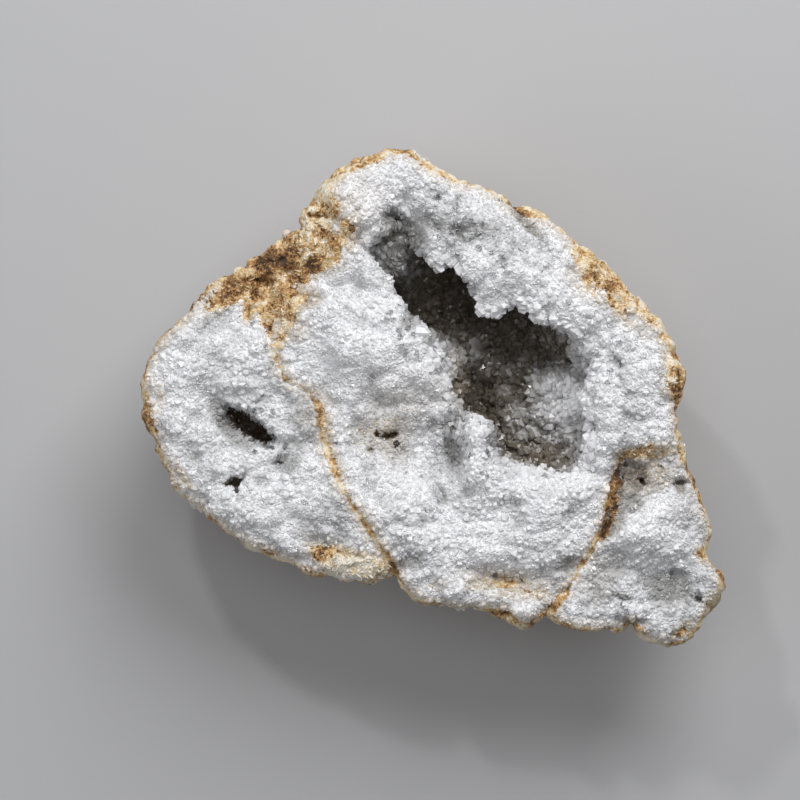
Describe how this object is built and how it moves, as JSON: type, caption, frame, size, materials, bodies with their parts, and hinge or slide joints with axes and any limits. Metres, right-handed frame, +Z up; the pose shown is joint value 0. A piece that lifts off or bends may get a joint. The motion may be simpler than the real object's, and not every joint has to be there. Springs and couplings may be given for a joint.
{
  "type": "quartz geode",
  "caption": "Broken quartz geode: grown-together nodules with a thin tan rind, a sugary white crystal face, a deep crystal-lined hollow and a small pocket.",
  "frame": {"origin": "middle of the small flat spot on the rounded back that the stone rests on", "axes": "+Z up, towards the broken crystal face; +X along the stone's length, towards the smallest nodule; +Y towards the hollow's upper end"},
  "size_m": [0.1299, 0.1104, 0.0484],
  "materials": {
    "white_quartz": "sugary, with a rough tan rind",
    "grey_crystal": "glassy crystal points",
    "pale_crystal": "glassy crystal points"
  },
  "bodies": {
    "root": {"geode_stone": "white_quartz", "hollow_crystals": "grey_crystal", "pocket_crystals": "pale_crystal"}
  },
  "joints": []
}
